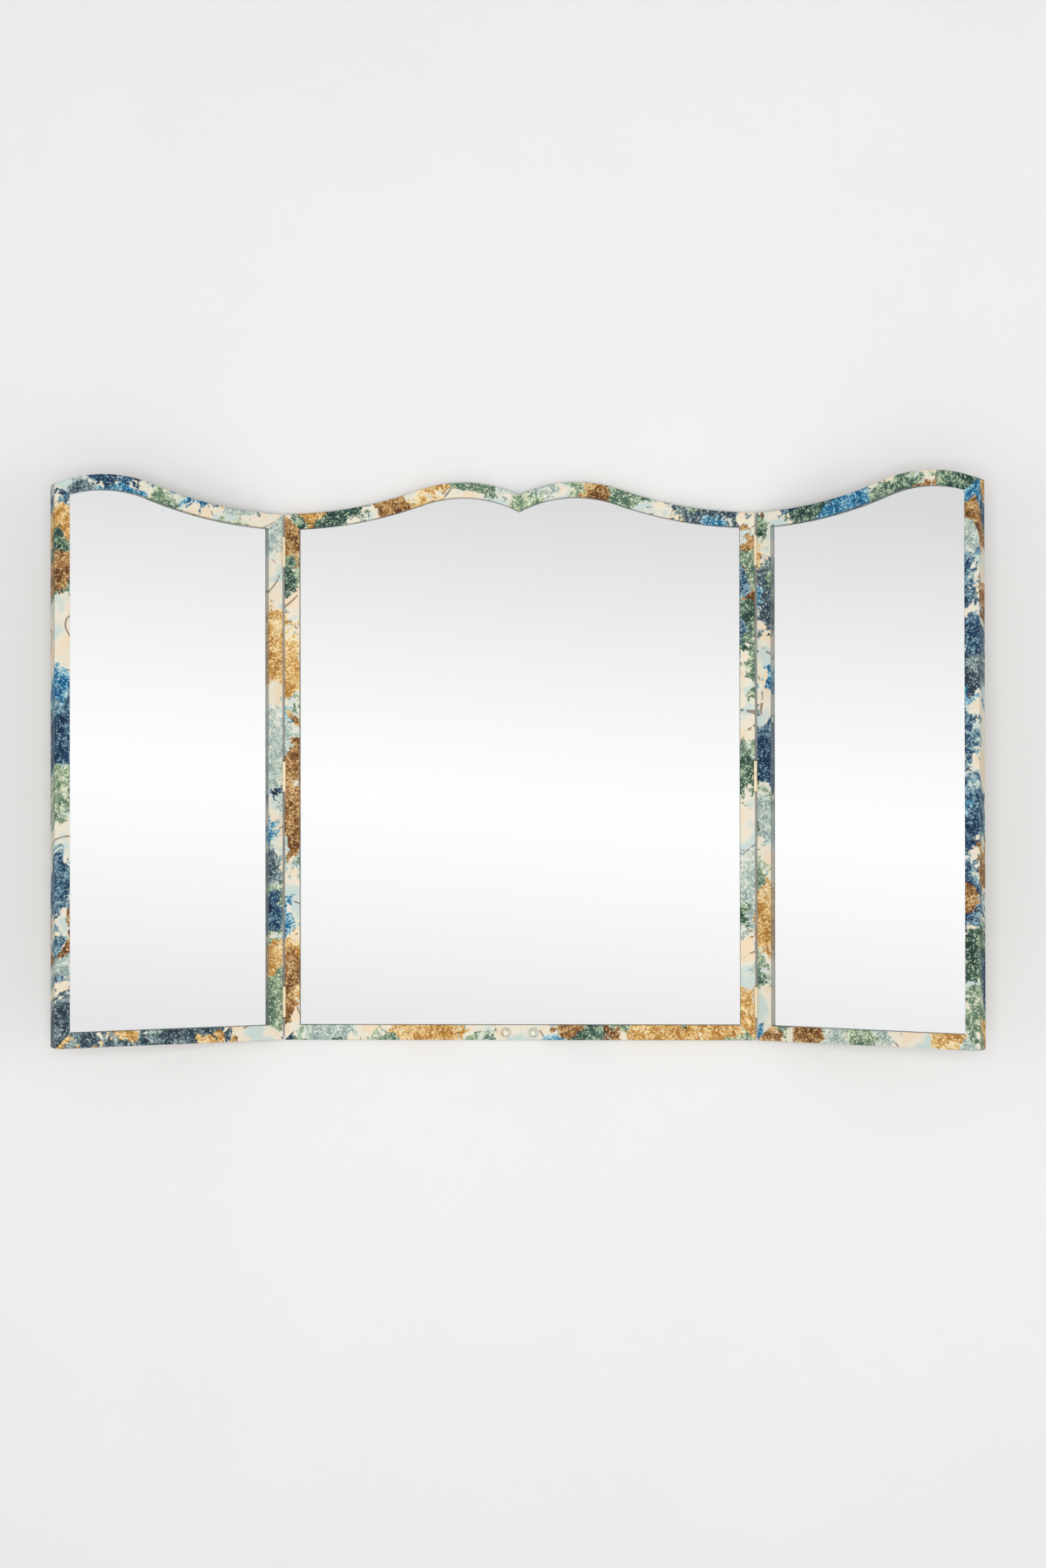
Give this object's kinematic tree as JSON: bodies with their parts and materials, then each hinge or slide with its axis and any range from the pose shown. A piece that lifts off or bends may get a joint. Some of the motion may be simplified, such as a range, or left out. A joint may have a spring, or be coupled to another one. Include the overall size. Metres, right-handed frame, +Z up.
{
  "type": "trifold wall mirror",
  "caption": "Wall-hung trifold mirror with half-width wings hinged to its centre panel, in mitred frames wrapped in a printed leafy covering, under a top of hollow sweeps and rounded crests.",
  "frame": {"origin": "on the back face of the centre panel, on its middle line, halfway up its hinge sides", "axes": "+Z up, +Y backwards into the wall, -Y out of the front of the mirror, +X to the viewer's right"},
  "size_m": [1.1468, 0.1647, 0.71],
  "materials": {
    "frame_wood": "bare planed softwood",
    "printed_covering": "printed leafy covering, painterly, with a faint satin sheen",
    "mirror_glass": "silvered plain float glass",
    "backing_board": "smooth brown fibreboard",
    "hinge_brass": "polished brass",
    "zinc_steel": "zinc plated, satin",
    "clear_bumper": "clear soft plastic, glossy"
  },
  "bodies": {
    "centre_panel": {"centre_top_core": "frame_wood", "centre_bottom_core": "frame_wood", "centre_left_core": "frame_wood", "centre_right_core": "frame_wood", "centre_top_cover": "printed_covering", "centre_bottom_cover": "printed_covering", "centre_left_cover": "printed_covering", "centre_right_cover": "printed_covering", "centre_mirror": "mirror_glass", "centre_backing_board": "backing_board", "centre_backing_screws": "zinc_steel", "left_low_hinge_fixed_leaf": "hinge_brass", "left_low_hinge_pin": "hinge_brass", "left_mid_hinge_fixed_leaf": "hinge_brass", "left_mid_hinge_pin": "hinge_brass", "left_high_hinge_fixed_leaf": "hinge_brass", "left_high_hinge_pin": "hinge_brass", "left_fixed_leaf_screws": "hinge_brass", "left_hanger_plate": "zinc_steel", "left_bumper": "clear_bumper", "right_low_hinge_fixed_leaf": "hinge_brass", "right_low_hinge_pin": "hinge_brass", "right_mid_hinge_fixed_leaf": "hinge_brass", "right_mid_hinge_pin": "hinge_brass", "right_high_hinge_fixed_leaf": "hinge_brass", "right_high_hinge_pin": "hinge_brass", "right_fixed_leaf_screws": "hinge_brass", "right_hanger_plate": "zinc_steel", "right_bumper": "clear_bumper", "hanger_plate_screws": "zinc_steel"},
    "left_wing": {"left_wing_top_core": "frame_wood", "left_wing_bottom_core": "frame_wood", "left_wing_hinge_core": "frame_wood", "left_wing_end_core": "frame_wood", "left_wing_top_cover": "printed_covering", "left_wing_bottom_cover": "printed_covering", "left_wing_hinge_cover": "printed_covering", "left_wing_end_cover": "printed_covering", "left_wing_mirror": "mirror_glass", "left_wing_backing_board": "backing_board", "left_wing_backing_screws": "zinc_steel", "left_low_hinge_moving_leaf": "hinge_brass", "left_mid_hinge_moving_leaf": "hinge_brass", "left_high_hinge_moving_leaf": "hinge_brass", "left_moving_leaf_screws": "hinge_brass"},
    "right_wing": {"right_wing_top_core": "frame_wood", "right_wing_bottom_core": "frame_wood", "right_wing_hinge_core": "frame_wood", "right_wing_end_core": "frame_wood", "right_wing_top_cover": "printed_covering", "right_wing_bottom_cover": "printed_covering", "right_wing_hinge_cover": "printed_covering", "right_wing_end_cover": "printed_covering", "right_wing_mirror": "mirror_glass", "right_wing_backing_board": "backing_board", "right_wing_backing_screws": "zinc_steel", "right_low_hinge_moving_leaf": "hinge_brass", "right_mid_hinge_moving_leaf": "hinge_brass", "right_high_hinge_moving_leaf": "hinge_brass", "right_moving_leaf_screws": "hinge_brass"}
  },
  "joints": [
    {"name": "left_wing_hinge", "type": "hinge", "parent": "centre_panel", "child": "left_wing", "pos_m": [-0.3, -0.0226, 0], "axis": [0, 0, 1], "range_deg": [-27.4, 152.6]},
    {"name": "right_wing_hinge", "type": "hinge", "parent": "centre_panel", "child": "right_wing", "pos_m": [0.3, -0.0226, 0], "axis": [0, 0, -1], "range_deg": [-29, 151]}
  ]
}
